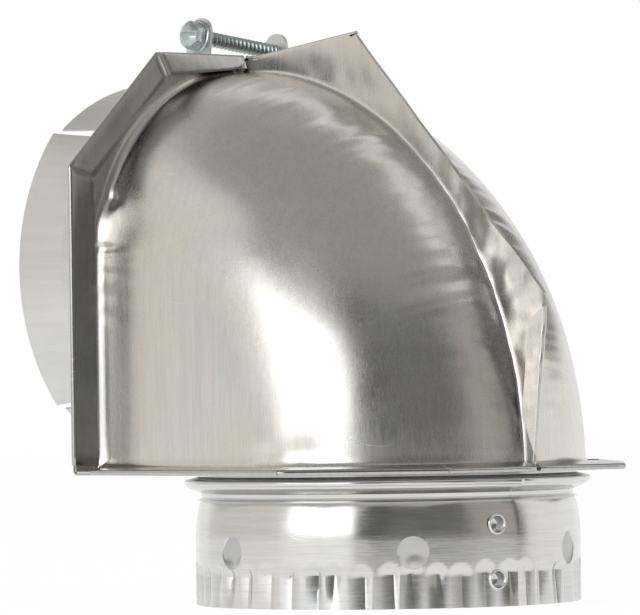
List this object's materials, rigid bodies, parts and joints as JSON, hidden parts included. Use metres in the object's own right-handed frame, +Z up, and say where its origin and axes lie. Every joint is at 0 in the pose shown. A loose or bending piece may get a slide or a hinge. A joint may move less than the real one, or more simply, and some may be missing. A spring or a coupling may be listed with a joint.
{
  "type": "dryer vent elbow",
  "caption": "Close-turn right-angle dryer vent elbow of folded aluminium sheet, with a clamped slit inlet sleeve and a crimped outlet spigot that both swivel.",
  "frame": {"origin": "centre of the crimped spigot's open end, on the surface that the elbow stands on", "axes": "+Z up along the spigot's axis into the bend, -X out of the inlet sleeve, +X towards the heel"},
  "size_m": [0.1512, 0.125, 0.1581],
  "materials": {
    "pressed_aluminium": "satin rolled sheet with drawing marks",
    "plate_aluminium": "satin rolled sheet",
    "sleeve_aluminium": "satin, grain round the sleeve",
    "rivet_aluminium": "bright",
    "clamp_steel": "zinc plated",
    "screw_zinc": "bright zinc plated"
  },
  "bodies": {
    "bend": {"near_pressing": "pressed_aluminium", "far_pressing": "pressed_aluminium", "port_plate": "plate_aluminium"},
    "spigot": {"outlet_spigot": "sleeve_aluminium", "spigot_rivets": "rivet_aluminium"},
    "inlet": {"inlet_sleeve": "sleeve_aluminium", "clamp_band": "clamp_steel"},
    "screw": {"clamp_screw": "screw_zinc"}
  },
  "joints": [
    {"name": "spigot_turn", "type": "hinge", "parent": "bend", "child": "spigot", "pos_m": [0, 0, 0.0345], "axis": [0, 0, 1], "continuous": true},
    {"name": "inlet_turn", "type": "hinge", "parent": "bend", "child": "inlet", "pos_m": [-0.0555, 0, 0.09], "axis": [-1, 0, 0], "continuous": true},
    {"name": "screw_turn", "type": "hinge", "parent": "inlet", "child": "screw", "pos_m": [-0.066, 0.00752, 0.15124], "axis": [0, 0.9925, -0.1219], "continuous": true}
  ]
}
